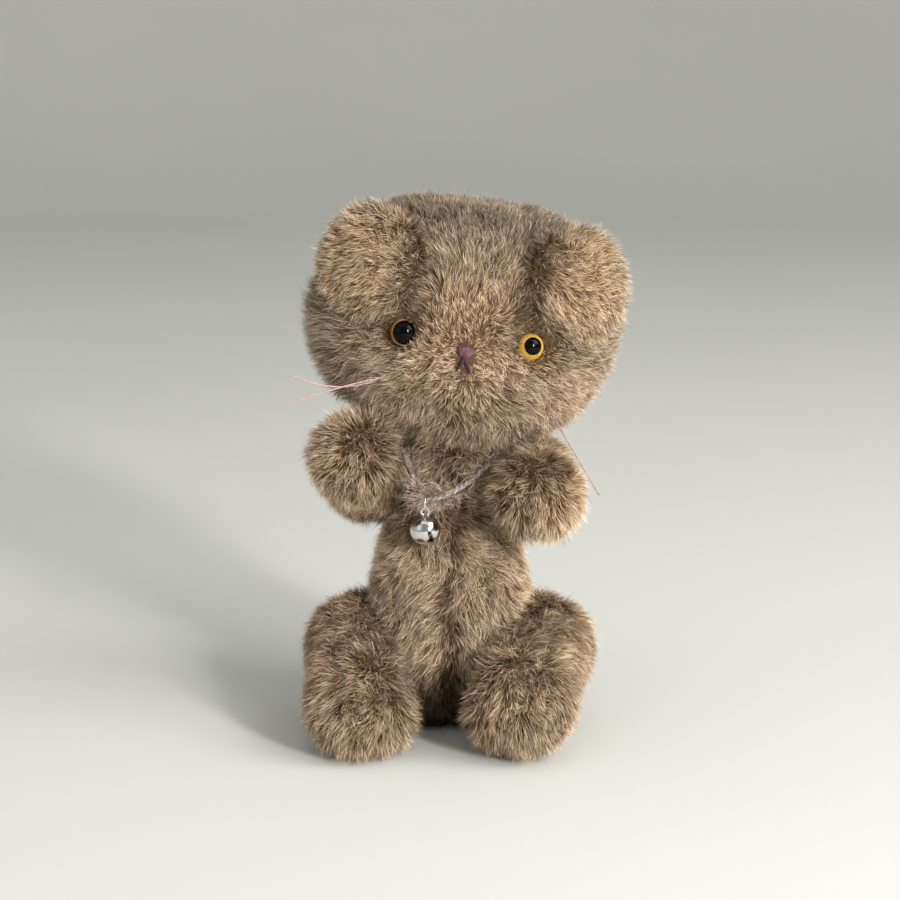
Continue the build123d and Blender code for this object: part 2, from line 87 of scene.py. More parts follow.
nodes = frame["nodes"]
joints = {joint["name"]: joint for joint in frame["joints"]}
SIDES = {"left": -1, "right": 1}
DENSITY = PILE_PER_MM2


# Small helpers

def vec(values):
    return np.array(values, float)


def unit(vectors):
    length = np.linalg.norm(vectors, axis=-1, keepdims=True)
    return vectors / np.maximum(length, 1e-9)


def centre_of(node):
    low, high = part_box(node)
    return (vec(low) + vec(high)) / 2


def tangent(vectors, normals):
    """The part of each vector that lies in the surface."""
    return vectors - (vectors * normals).sum(-1, keepdims=True) * normals


def make_waves(count=7):
    """Random plane waves that add up to a smooth noise, fixed once for the whole cat."""
    directions = unit(RNG.normal(size=(count, 3))) * RNG.uniform(0.7, 1.4, (count, 1))
    return directions, RNG.uniform(0, math.tau, count)


WAVES = [make_waves() for _ in range(4)]


def noise(points, size, which=3):
    """A smooth noise of about -1 to 1 whose patches are about this size."""
    directions, phases = WAVES[which]
    return np.sin(points @ directions.T * (math.pi / size) + phases).sum(1) / math.sqrt(len(phases))


def drift(points, size):
    """A smooth field of vectors, one noise for each direction."""
    return np.stack([noise(points, size, axis) for axis in range(3)], -1)


def smoothstep(values, low, high):
    t = np.clip((values - low) / (high - low), 0, 1)
    return t * t * (3 - 2 * t)


def new_object(name, mesh, material, body):
    made = bpy.data.objects.new(name, mesh)
    bpy.context.scene.collection.objects.link(made)
    mesh.materials.clear()
    mesh.materials.append(material)
    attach(made, body)
    return made


def mesh_from(name, vertices, faces, smooth=True):
    mesh = bpy.data.meshes.new(name)
    mesh.from_pydata([tuple(v) for v in vertices], [], [tuple(f) for f in faces])
    mesh.update()
    if smooth:
        mesh.polygons.foreach_set("use_smooth", [True] * len(mesh.polygons))
    return mesh


# Materials

class Nodes:
    """A material's node tree, with one Principled surface."""

    def __init__(self, name):
        self.material = bpy.data.materials.new(name)
        self.material.use_nodes = True
        self.tree = self.material.node_tree
        self.surface = self.tree.nodes["Principled BSDF"]

    def add(self, kind, inputs=(), **settings):
        node = self.tree.nodes.new(kind)
        for key, value in settings.items():
            setattr(node, key, value)
        for key, value in dict(inputs).items():
            if isinstance(value, bpy.types.NodeSocket):
                self.tree.links.new(value, node.inputs[key])
            else:
                node.inputs[key].default_value = value
        return node

    def drive(self, socket, output):
        self.tree.links.new(output, self.surface.inputs[socket])

    def set(self, **values):
        for key, value in values.items():
            self.surface.inputs[key.replace("_", " ")].default_value = value

    def ramp(self, factor, stops, mode="LINEAR"):
        node = self.add("ShaderNodeValToRGB", {"Fac": factor})
        node.color_ramp.interpolation = mode
        elements = node.color_ramp.elements
        while len(elements) < len(stops):
            elements.new(0.5)
        for element, (position, colour) in zip(elements, stops):
            element.position = position
            element.color = (*colour, 1)
        return node.outputs["Color"]

    def math(self, operation, first, second=0.0):
        return self.add("ShaderNodeMath", {0: first, 1: second}, operation=operation).outputs[0]

    def mix(self, factor, first, second, blend="MIX"):
        node = self.add("ShaderNodeMix", data_type="RGBA", blend_type=blend)
        for index, value in ((0, factor), (6, first), (7, second)):
            if isinstance(value, bpy.types.NodeSocket):
                self.tree.links.new(value, node.inputs[index])
            else:
                node.inputs[index].default_value = value
        return node.outputs[2]

    def bump(self, height, strength, distance):
        node = self.add("ShaderNodeBump", {"Height": height, "Strength": strength, "Distance": distance})
        self.drive("Normal", node.outputs["Normal"])


def srgb(red, green, blue):
    """Linear colour of an 8-bit display colour."""
    channels = []
    for value in (red, green, blue):
        share = value / 255
        channels.append(share / 12.92 if share <= 0.04045 else ((share + 0.055) / 1.055) ** 2.4)
    return tuple(channels)


PILE_ROOT = srgb(38, 24, 13)
PILE_MIDDLE = srgb(138, 109, 78)
PILE_TIP = srgb(243, 226, 201)
BAND_TINTS = {
    HEATHER: (1.00, 1.00, 1.00),
    GREY: (0.72, 0.74, 0.76),
    GOLD: (1.10, 0.99, 0.76),
    MAUVE: (0.86, 0.70, 0.72),
    # UMBER also carries the painted shade in creases, gaps and under the head
    UMBER: (0.50, 0.42, 0.36),
    CREAM: (1.32, 1.28, 1.20),
    YARN: (1.12, 1.18, 1.40),
    WARM: (0.98, 0.88, 0.72),
}
FIBRE_SHADES = [(0.0, (0.28, 0.27, 0.26)), (0.5, (0.90, 0.90, 0.90)), (1.0, (1.75, 1.75, 1.75))]


def pile_material():
    """Mohair: dark at the root, pale at the tip, each fibre in a shade of its own."""
    made = Nodes("mohair_pile")
    place = made.add("ShaderNodeUVMap", uv_map="OFBake").outputs["UV"]
    split = made.add("ShaderNodeSeparateXYZ", {"Vector": place})
    along, shade = split.outputs["X"], split.outputs["Y"]
    column = made.ramp(along, [(0.0, PILE_ROOT), (0.45, PILE_MIDDLE), (0.95, PILE_TIP)])
    stops = [(band / BANDS, BAND_TINTS[band]) for band in range(BANDS)]
    tint = made.ramp(shade, stops, "CONSTANT")
    step = made.math("FLOOR", made.math("MULTIPLY", shade, float(SHADES)))
    within = made.math("DIVIDE", made.math("MODULO", step, float(SHADES_PER_BAND)), float(SHADES_PER_BAND))
    light = made.ramp(within, FIBRE_SHADES)
    tinted = made.mix(1.0, column, tint, "MULTIPLY")
    made.drive("Base Color", made.mix(1.0, tinted, light, "MULTIPLY"))
    made.set(Roughness=0.55, Specular_IOR_Level=0.25, Sheen_Weight=0.05, Sheen_Roughness=0.5)
    return made.material


def cloth_material():
    """The woven backing that the pile stands on."""
    made = Nodes("mohair_backing")
    place = made.add("ShaderNodeTexCoord").outputs["Object"]
    warp = made.add("ShaderNodeTexWave", {"Vector": place, "Scale": 900.0, "Distortion": 0.6},
                    wave_type="BANDS", bands_direction="X").outputs["Fac"]
    weft = made.add("ShaderNodeTexWave", {"Vector": place, "Scale": 900.0, "Distortion": 0.6},
                    wave_type="BANDS", bands_direction="Z").outputs["Fac"]
    weave = made.math("MAXIMUM", warp, weft)
    cloudy = made.add("ShaderNodeTexNoise", {"Vector": place, "Scale": 300.0, "Detail": 4.0}).outputs["Fac"]
    base = made.ramp(cloudy, [(0.3, srgb(58, 42, 30)), (0.7, srgb(104, 80, 58))])
    threads = made.ramp(weave, [(0, srgb(40, 28, 20)), (1, srgb(120, 94, 70))])
    made.drive("Base Color", made.mix(0.35, base, threads))
    made.set(Roughness=0.95, Specular_IOR_Level=0.1)
    made.bump(weave, 0.5, 0.1 * MM)
    return made.material


def speckled(name, dark, pale, scale, roughness, metallic=0.0, stretch=(1, 1, 1), bump=0.2):
    """A material whose colour and surface vary with a noise in its own space."""
    made = Nodes(name)
    place = made.add("ShaderNodeTexCoord").outputs["Object"]
    placed = made.add("ShaderNodeMapping", {"Vector": place, "Scale": stretch}).outputs["Vector"]
    grain = made.add("ShaderNodeTexNoise", {"Vector": placed, "Scale": scale, "Detail": 6.0}).outputs["Fac"]
    made.drive("Base Color", made.ramp(grain, [(0.3, dark), (0.7, pale)]))
    made.set(Roughness=roughness, Metallic=metallic)
    made.bump(grain, bump, 0.05 * MM)
    return made.material


PILE = pile_material()
CLOTH = cloth_material()
WADDING = speckled("wadding", srgb(214, 210, 202), srgb(244, 242, 236), 700.0, 0.95, bump=0.6)
FIBREBOARD = speckled("fibreboard", srgb(88, 58, 38), srgb(128, 90, 60), 1600.0, 0.8)
STEEL = speckled("steel", srgb(140, 140, 142), srgb(190, 190, 192), 900.0, 0.35, 1.0, (1, 1, 12), 0.1)
NICKEL = speckled("nickel_plate", srgb(205, 204, 202), srgb(228, 227, 226), 500.0, 0.12, 1.0, bump=0.05)
FLOSS_PURPLE = speckled("floss_purple", srgb(44, 16, 24), srgb(140, 90, 106), 900.0, 0.45, stretch=(6, 1, 1))
FLOSS_DARK = speckled("floss_dark", srgb(24, 10, 14), srgb(58, 30, 36), 900.0, 0.55, stretch=(1, 1, 5))
WHISKER = speckled("whisker_thread", srgb(150, 112, 112), srgb(202, 168, 164), 1500.0, 0.4)
YARN_CORE = speckled("yarn_core", srgb(148, 142, 146), srgb(202, 196, 200), 1200.0, 0.9, bump=0.6)


# Stuffed skins, made from the CAD panels and what fills them

def filled_mesh(name, sources):
    """One closed surface round a set of CAD nodes."""
    gathered = bmesh.new()
    for node in sources:
        gathered.from_mesh(nodes[node].data)
    mesh = bpy.data.meshes.new(name)
    gathered.to_mesh(mesh)
    gathered.free()
    holder = bpy.data.objects.new(name, mesh)
    bpy.context.scene.collection.objects.link(holder)
    remesh = holder.modifiers.new("voxels", "REMESH")
    remesh.mode = "VOXEL"
    remesh.voxel_size = VOXEL
    smooth = holder.modifiers.new("smooth", "SMOOTH")
    smooth.factor = 0.6
    smooth.iterations = SMOOTH_PASSES
    baked = bpy.data.meshes.new_from_object(holder.evaluated_get(bpy.context.evaluated_depsgraph_get()))
    bpy.data.objects.remove(holder)
    keep_outside(baked)
    return baked


def keep_outside(mesh):
    """Deletes every island but the largest, which leaves the outer surface."""
    work = bmesh.new()
    work.from_mesh(mesh)
    unseen = set(work.verts)
    islands = []
    while unseen:
        start = unseen.pop()
        island, open_ends = [start], [start]
        while open_ends:
            vertex = open_ends.pop()
            for link in vertex.link_edges:
                other = link.other_vert(vertex)
                if other in unseen:
                    unseen.remove(other)
                    island.append(other)
                    open_ends.append(other)
        islands.append(island)
    islands.sort(key=len)
    for island in islands[:-1]:
        bmesh.ops.delete(work, geom=island, context="VERTS")
    work.to_mesh(mesh)
    work.free()


def coordinates(mesh):
    values = np.empty(len(mesh.vertices) * 3)
    mesh.vertices.foreach_get("co", values)
    return values.reshape(-1, 3)


def normals_of(mesh):
    values = np.empty(len(mesh.vertices) * 3)
    mesh.vertices.foreach_get("normal", values)
    return values.reshape(-1, 3)


def triangles_of(mesh):
    mesh.calc_loop_triangles()
    values = np.empty(len(mesh.loop_triangles) * 3, np.int32)
    mesh.loop_triangles.foreach_get("vertices", values)
    return values.reshape(-1, 3)


def move_vertices(mesh, places):
    mesh.vertices.foreach_set("co", places.reshape(-1))
    mesh.update()


def pull_seam(mesh, distance, where=1.0):
    """Draws the cloth in along a seam; distance is each vertex's distance from the seam."""
    depth = WELT_DEPTH * np.exp(-(distance / WELT_WIDTH) ** 2) * where
    move_vertices(mesh, coordinates(mesh) - normals_of(mesh) * depth[:, None])


skins = []


def make_skin(name, sources, replaced, body, seam):
    """The stuffed skin of one part. seam(points) gives distances from the sewn line."""
    mesh = filled_mesh(name, sources)
    pull_seam(mesh, seam(coordinates(mesh)))
    skin = new_object(name, mesh, CLOTH, body)
    mesh.polygons.foreach_set("use_smooth", [True] * len(mesh.polygons))
    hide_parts(*replaced)
    skins.append((body, mesh))
    return skin


# Places on the cat, all read from the frame

NECK = vec(joints["neck"]["pos_m"])
HEAD_UP = unit(vec(joints["neck"]["axis"]))
HEAD_BACK = vec((0, 1, 0))
HEAD_RIGHT = np.cross(HEAD_BACK, HEAD_UP)
NOSE = centre_of("nose")
SEAM_HALF = 8.5 * MM        # half the width of the strip over the crown
EYES = {}
for side in SIDES:
    low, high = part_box(f"eye_{side}_glass")
    radius = (high.x - low.x) / 2
    EYES[side] = (vec(((low.x + high.x) / 2, low.y + radius, (low.z + high.z) / 2)), radius)


def head_local(points):
    """Coordinates from the neck: right, back and up along the tilted head."""
    offset = points - NECK
    return np.stack([offset @ HEAD_RIGHT, offset @ HEAD_BACK, offset @ HEAD_UP], -1)


def head_world(right, back, up):
    return NECK + right * HEAD_RIGHT + back * HEAD_BACK + up * HEAD_UP


def limb_frame(limb, joint):
    """Pivot, outward axis, direction to the paw and the seam's offset along the axis."""
    pivot = vec(joints[joint]["pos_m"])
    outward = unit(vec(joints[joint]["axis"]))
    outer = coordinates(nodes[f"{limb}_outer_panel"].data)
    if outward @ (outer.mean(0) - pivot) < 0:
        outward = -outward
    along = unit(tangent(outer.mean(0) - pivot, outward))
    return pivot, outward, along, ((outer - pivot) @ outward).min()


# The skins

HEAD_PANELS = ["head_left_panel", "head_right_panel", "head_gusset"]
HEAD_FILLING = ["head_stuffing", "neck_outer_disc", "neck_outer_washer"]
head_skin = make_skin(
    "head_skin", HEAD_PANELS + HEAD_FILLING, HEAD_PANELS, "head",
    lambda points: np.abs(np.abs(head_local(points)[:, 0]) - SEAM_HALF),
)
ear_skins = {}
for side in SIDES:
    panels = [f"ear_{side}_front", f"ear_{side}_back"]
    middle = (centre_of(panels[0]) + centre_of(panels[1])) / 2
    facing = unit(centre_of(panels[0]) - centre_of(panels[1]))
    ear_skins[side] = make_skin(
        f"ear_{side}_skin", panels, panels, "head",
        lambda points, middle=middle, facing=facing: np.abs((points - middle) @ facing),
    )
TORSO_PANELS = ["torso_left_panel", "torso_right_panel"]
TORSO_FILLING = ["torso_stuffing", "torso_washers"]
TORSO_FILLING += [f"{joint}_torso_disc" for joint in joints if f"{joint}_torso_disc" in nodes]
torso_skin = make_skin(
    "torso_skin", TORSO_PANELS + TORSO_FILLING, TORSO_PANELS, "torso",
    lambda points: np.abs(points[:, 0]),
)
tail_skin = make_skin(
    "tail_skin", ["tail_panel", "tail_stuffing"], ["tail_panel"], "torso",
    lambda points: np.abs(points[:, 0]) + 9 * MM * (points[:, 2] > centre_of("tail_panel")[2]),
)
limbs = {}
for kind, joint in (("arm", "shoulder"), ("leg", "hip")):
    for side in SIDES:
        limb = f"{kind}_{side}"
        pivot, outward, along, seam_at = limb_frame(limb, f"{joint}_{side}")
        panels = [f"{limb}_inner_panel", f"{limb}_outer_panel"]
        hardware = [f"{limb}_stuffing", f"{joint}_{side}_outer_disc", f"{joint}_{side}_outer_washer"]
        skin = make_skin(
            f"{limb}_skin", panels + hardware, panels, limb,
            lambda points, pivot=pivot, outward=outward, seam_at=seam_at:
                np.abs((points - pivot) @ outward - seam_at),
        )
        limbs[limb] = (skin, pivot, outward, along, seam_at)


# Pile

def scatter(mesh, per_mm2):
    """Even random points on a mesh, with their normals."""
    vertices, triangles, normals = coordinates(mesh), triangles_of(mesh), normals_of(mesh)
    a, b, c = (vertices[triangles[:, i]] for i in range(3))
    areas = np.linalg.norm(np.cross(b - a, c - a), axis=1) / 2
    count = int(areas.sum() / MM ** 2 * per_mm2)
    chosen = RNG.choice(len(triangles), count, p=areas / areas.sum())
    first, second = RNG.random(count), RNG.random(count)
    over = first + second > 1
    first[over], second[over] = 1 - first[over], 1 - second[over]
    weights = np.stack([1 - first - second, first, second], -1)[:, :, None]
    points = (vertices[triangles[chosen]] * weights).sum(1)
    facing = unit((normals[triangles[chosen]] * weights).sum(1))
    return points, facing


def obstacles(body):
    """A tree of every skin that moves with another body."""
    places, faces, base = [], [], 0
    for owner, mesh in skins:
        if owner != body:
            vertices = coordinates(mesh)
            places.append(vertices)
            faces.append(triangles_of(mesh) + base)
            base += len(vertices)
    return BVHTree.FromPolygons(np.concatenate(places).tolist(), np.concatenate(faces).tolist())


trees = {body: obstacles(body) for body in {owner for owner, mesh in skins}}


def room(points, normals, body):
    """How far each fibre may rise before it meets another part."""
    tree = trees[body]
    free = np.full(len(points), LONGEST)
    starts = points + normals * 0.05 * MM
    for index in range(len(points)):
        distance = tree.ray_cast(starts[index], normals[index], LONGEST)[3]
        if distance is not None:
            free[index] = distance
    return free


def tufts(points):
    """For each point, the tuft that it belongs to, and each tuft's middle point."""
    count = max(1, len(points) // CLUMP_SIZE)
    centres = RNG.choice(len(points), count, replace=False)
    tree = KDTree(count)
    for index, centre in enumerate(centres):
        tree.insert(points[centre], index)
    tree.balance()
    owner = np.array([tree.find(point)[1] for point in points])
    return owner, centres


def fibre_lines(points, normals, comb, lean, length, free, wild, gather):
    """The centre line of each fibre, and the tuft that it belongs to."""
    count = len(points)
    owner, centres = tufts(points)
    comb = unit(comb) + wild * (drift(points, 5 * MM) + 0.7 * drift(points, 1.7 * MM))
    sway = tangent(RNG.normal(size=(len(centres), 3)), normals[centres]) * TUFT_SWAY
    comb = comb + sway[owner] + tangent(RNG.normal(size=(count, 3)), normals) * FIBRE_SWAY
    comb = unit(tangent(comb, normals))
    lean = lean + RNG.normal(0, 0.12, len(centres))[owner] + RNG.normal(0, 0.16, count)
    length = length * (1 + RNG.normal(0, 0.08, len(centres))[owner]) * RNG.uniform(0.6, 1.2, count)
    lean_under_roof = np.arccos(np.clip(0.7 * free / length, 0.12, 1.0))
    lean = np.maximum(lean, lean_under_roof)
    line = np.empty((count, len(FIBRE_STEPS), 3))
    line[:, 0] = points - normals * 0.2 * MM
    for index in range(1, len(FIBRE_STEPS)):
        bend = np.clip(lean * (0.55 + 0.65 * FIBRE_STEPS[index]), STEEPEST, FLATTEST)[:, None]
        heading = normals * np.cos(bend) + comb * np.sin(bend)
        step = length[:, None] * (FIBRE_STEPS[index] - FIBRE_STEPS[index - 1])
        line[:, index] = line[:, index - 1] + heading * step
    pull = gather * FIBRE_STEPS ** 2
    line = line + (line[centres][owner] - line) * pull[None, :, None]
    line = line + RNG.normal(0, FIBRE_KINK, line.shape) * FIBRE_STEPS[None, :, None]
    line[:, :, 2] = np.maximum(line[:, :, 2], FLOOR_CLEAR)
    return line, owner, len(centres)


def ribbons(name, line, normals, band, tone, width):
    """A mesh of tapering ribbons along lines; each one's shade is its place in the shade map."""
    count = len(line)
    heading = np.gradient(line, axis=1)
    roll = RNG.normal(0, 0.6, count)[:, None, None]
    flat = unit(np.cross(heading, normals[:, None, :]))
    up = unit(np.cross(flat, heading))
    across = flat * np.cos(roll) + up * np.sin(roll)
    half = width / 2 * RNG.uniform(0.7, 1.25, count)[:, None] * FIBRE_TAPER[None, :]
    across = across * half[:, :, None]
    vertices = np.concatenate([line[:, :-1] - across[:, :-1], line[:, :-1] + across[:, :-1], line[:, -1:]], 1)
    rungs = len(FIBRE_STEPS) - 1
    per_fibre = 2 * rungs + 1
    corners = []
    for i in range(rungs - 1):
        corners += [i, i + 1, rungs + i + 1, rungs + i]
    corners += [rungs - 1, 2 * rungs, 2 * rungs - 1]
    sizes = np.array([4] * (rungs - 1) + [3])
    starts = np.concatenate([[0], np.cumsum(sizes)[:-1]])

    shade = band * SHADES_PER_BAND + np.floor(np.clip(tone, 0.01, 0.98) * SHADES_PER_BAND)
    steps = np.concatenate([FIBRE_STEPS[:-1], FIBRE_STEPS[:-1], FIBRE_STEPS[-1:]])
    lift = np.array([-1] * rungs + [1] * rungs + [0]) * 0.15
    uv = np.empty((count, per_fibre, 2))
    uv[:, :, 0] = 0.01 + 0.98 * steps[None, :]
    uv[:, :, 1] = (shade[:, None] + 0.5 + lift[None, :]) / SHADES

    loops = (np.arange(count)[:, None] * per_fibre + np.array(corners)[None, :]).ravel()
    loop_starts = (np.arange(count)[:, None] * sizes.sum() + starts[None, :]).ravel()
    mesh = bpy.data.meshes.new(name)
    mesh.vertices.add(count * per_fibre)
    mesh.vertices.foreach_set("co", vertices.reshape(-1))
    mesh.loops.add(len(loops))
    mesh.loops.foreach_set("vertex_index", loops)
    mesh.polygons.add(len(loop_starts))
    mesh.polygons.foreach_set("loop_start", loop_starts)
    mesh.polygons.foreach_set("use_smooth", np.ones(len(loop_starts), bool))
    layer = mesh.uv_layers.new(name="OFBake")
    layer.data.foreach_set("uv", uv.reshape(-1, 2)[loops].reshape(-1))
    mesh.update()
    mesh.validate()
    return mesh


def grow(name, body, points, normals, comb, lean, length, band, shade=0.0, wild=0.45, gather=0.30):
    """One part's pile, as a piece that rides with it."""
    if len(points) > MOST_FIBRES:
        kept = RNG.choice(len(points), MOST_FIBRES, replace=False)
        points, normals, comb, band = points[kept], normals[kept], comb[kept], band[kept]
        lean, length, shade = (value[kept] if np.ndim(value) else value for value in (lean, length, shade))
    lean = np.broadcast_to(lean, len(points))
    length = np.broadcast_to(length, len(points))
    free = room(points, normals, body)
    open_air = free > 0.5 * MM
    points, normals, comb, band = points[open_air], normals[open_air], comb[open_air], band[open_air]
    lean, length, free = lean[open_air], length[open_air], free[open_air]
    shade = shade[open_air] if np.ndim(shade) else shade
    line, owner, groups = fibre_lines(points, normals, comb, lean, length, free, wild, gather)
    tone = RNG.normal(0.50, 0.27, len(points)) + shade + RNG.normal(0, 0.06, groups)[owner]
    tone += 0.07 * noise(points, 7 * MM) + 0.05 * noise(points, 2.5 * MM, 0)
    made = new_object(name, ribbons(name, line, normals, band, tone, FIBRE_WIDTH), PILE, body)


def pick_bands(count, weights):
    """A band for each fibre, drawn by weights that may vary over the fibres."""
    names = np.array(list(weights))
    table = np.stack([np.broadcast_to(weights[name], count) for name in weights], -1).astype(float)
    table = np.cumsum(np.maximum(table, 0), -1)
    draw = RNG.random(count)[:, None] * table[:, -1:]
    return names[(draw > table).sum(-1)]


# Pile of the head

NOSE_BARE = 1.5 * MM        # radius of the patch that the nose covers
NECK_BARE = 9 * MM          # radius of the patch on the neck joint
BROW_LENGTH = 1.9 * MM      # short hairs that lean over the rims of the eyes
BROW_LEAN = 0.50


def nearness(points, mesh, reach):
    """1 on a mesh, falling to 0 over a reach from it."""
    vertices = coordinates(mesh)
    tree = KDTree(len(vertices))
    for index, vertex in enumerate(vertices):
        tree.insert(vertex, index)
    tree.balance()
    gap = np.array([tree.find(point)[2] for point in points])
    return np.exp(-(gap / reach) ** 2)


def head_pile():
    """Hair that runs back from the nose, shorter round the nose and eyes, with painted shade by the ears,
    under the jaw and over the left side.
    """
    points, normals = scatter(head_skin.data, DENSITY)
    local = head_local(points)
    below_nose = head_local(points - NOSE + NECK) / MM     # measured from the nose, in millimetres
    kept = np.linalg.norm(points - NOSE, axis=1) > NOSE_BARE
    under_stitches = (np.abs(below_nose[:, 0]) < 1.2) & (below_nose[:, 2] < 0) & (below_nose[:, 2] > -3.1)
    in_neck = (np.linalg.norm(local[:, :2], axis=1) < NECK_BARE) & (local[:, 2] < 2 * MM)
    kept &= ~(under_stitches & (below_nose[:, 1] < 4)) & ~in_neck
    for centre, radius in EYES.values():
        kept &= np.linalg.norm(points - centre, axis=1) > radius - 0.35 * MM
    points, normals, local = points[kept], normals[kept], local[kept]
    away = points - NOSE
    reach = np.linalg.norm(away, axis=1)
    comb = unit(tangent(away, normals))
    length = PILE_LENGTH * (0.36 + 0.66 * smoothstep(reach, 2 * MM, 17 * MM))
    lean = 1.12 - 0.14 * smoothstep(reach, 10 * MM, 30 * MM)
    for centre, radius in EYES.values():
        offset = points - centre
        distance = np.linalg.norm(offset, axis=1)
        ring = np.exp(-((distance - radius) / (1.8 * MM)) ** 2)
        brow = (distance < radius + 0.8 * MM) & (RNG.random(len(points)) < 0.7)
        comb += unit(tangent(offset, normals)) * np.where(brow, -3.0, ring)[:, None]
        length = length * (0.38 + 0.62 * smoothstep(distance, radius, radius + 4.5 * MM))
        length = np.where(brow, BROW_LENGTH, length)
        lean = np.where(brow, BROW_LEAN, lean - 0.35 * ring)

    # Where each fibre stands, from 0 to 1 for each part of the head
    back = smoothstep(local[:, 1], -16 * MM, 4 * MM)
    crown = smoothstep(local[:, 2], 38 * MM, 47 * MM)
    side_of_head = smoothstep(np.abs(local[:, 0]), 22 * MM, 31 * MM)
    ear_near = np.maximum(*(nearness(points, ear_skins[side].data, 2.6 * MM) for side in SIDES))
    # Painted shade: dark creases round the ears and where they fold against the forehead, and under the ears
    fold = np.exp(-((np.abs(local[:, 0]) - 11.5 * MM) / (3.0 * MM)) ** 2)
    fold *= smoothstep(local[:, 2], 21 * MM, 25 * MM)
    fold *= 1 - smoothstep(local[:, 2], 38 * MM, 45 * MM)
    crease_with_painted_shade = np.maximum(ear_near * (1 - smoothstep(np.abs(local[:, 0]), 18 * MM, 24 * MM)), fold) * (1 - back)
    under_ear_painted_shade = ear_near * (1 - crease_with_painted_shade) * (1 - back)
    cheek = smoothstep(local[:, 0], 10 * MM, 24 * MM) * (1 - smoothstep(local[:, 2], 12 * MM, 24 * MM))
    # Painted shade under the jaw
    chin_painted_shade = 1 - smoothstep(local[:, 2], 3 * MM, 10 * MM)
    muzzle = 1 - smoothstep(reach, 4 * MM, 16 * MM)
    bridge = np.exp(-(local[:, 0] / (7 * MM)) ** 2) * smoothstep(local[:, 2], 20 * MM, 24 * MM)
    bridge *= 1 - smoothstep(local[:, 2], 30 * MM, 38 * MM)
    fluff = smoothstep(-local[:, 0], 20 * MM, 29 * MM) * (1 - smoothstep(local[:, 2], 20 * MM, 32 * MM))

    length = length * (1 - 0.45 * crease_with_painted_shade - 0.25 * crown + 0.55 * fluff)
    lean = lean - 0.30 * fluff
    patch = noise(points, 6 * MM, 1)
    band = pick_bands(len(points), {
        HEATHER: 1.0,
        CREAM: 0.30 + 0.75 * muzzle + 0.3 * cheek + 0.12 * patch - 0.25 * crown - 0.10 * back,
        GREY: 0.22 + 1.8 * crown + 0.3 * back + 0.8 * side_of_head,
        UMBER: 0.24 + 4.0 * crease_with_painted_shade + 0.9 * under_ear_painted_shade + 0.5 * chin_painted_shade,
        WARM: 0.28 + 0.7 * bridge + 1.6 * crease_with_painted_shade,
        MAUVE: 0.06 + 0.7 * cheek,
        GOLD: 0.16 + 0.6 * bridge - 0.1 * patch,
    })
    shade = 0.16 * muzzle + 0.06 * bridge + 0.06 * cheek - 0.30 * crease_with_painted_shade - 0.30 * crown - 0.04 * back
    # Painted shade: the second term under the jaw, the last over the left side of the head
    shade -= 0.12 * side_of_head + 0.08 * chin_painted_shade + 0.14 * smoothstep(-local[:, 0], 14 * MM, 28 * MM)
    for name, part in (
        ("head_pile_left", local[:, 0] < -SEAM_HALF),
        ("head_pile_right", local[:, 0] > SEAM_HALF),
        ("head_pile_middle", np.abs(local[:, 0]) <= SEAM_HALF),
    ):
        grow(name, "head", *(values[part] for values in (points, normals, comb, lean, length, band, shade)))


def ear_pile(side, sign):
    """Golden hair on the front of a folded ear, grey at the rim and behind, with painted shade along its
    inner edge.
    """
    points, normals = scatter(ear_skins[side].data, DENSITY)
    middle = centre_of(f"ear_{side}_front")
    fold_at = head_world(sign * 10 * MM, -16 * MM, 35 * MM)
    comb = unit(tangent(points - fold_at, normals)) + vec((0, 0, -0.60))
    front = smoothstep(-normals[:, 1], 0.0, 0.5)
    offset = head_local(points - middle + NECK)
    rim = smoothstep(np.linalg.norm(offset, axis=1), 7 * MM, 12 * MM)
    # Painted shade along the ear's inner edge, where it meets the head
    inner_edge_painted_shade = smoothstep(-sign * offset[:, 0], 5 * MM, 10 * MM)
    band = pick_bands(len(points), {
        HEATHER: 0.6,
        GOLD: 0.15 + 1.3 * front * (1 - 0.7 * rim),
        WARM: 0.15 + 0.4 * front * (1 - rim) + 0.6 * inner_edge_painted_shade,
        CREAM: 0.20 + 0.2 * front,
        GREY: 0.2 + 0.9 * (1 - front) + 0.7 * rim,
        UMBER: 0.16 + 1.6 * inner_edge_painted_shade,
    })
    shade = 0.08 * front * (1 - rim) - 0.08 * (1 - front) - 0.22 * inner_edge_painted_shade
    lean = 0.95 - 0.15 * rim
    length = PILE_LENGTH * (0.74 + 0.08 * rim)
    grow(f"ear_{side}_pile", "head", points, normals, comb, lean, length, band, shade)


head_pile()
for side, sign in SIDES.items():
    ear_pile(side, sign)


# Pile of the torso, tail and limbs: leans are in radians from upright

SEAT_FACING = -0.93         # the cloth that faces down more than this, under the seat, is bare
TORSO_LEAN = 1.02
TAIL_LEAN = 0.8
LEG_LEAN = 1.0
ARM_LEAN = 0.95


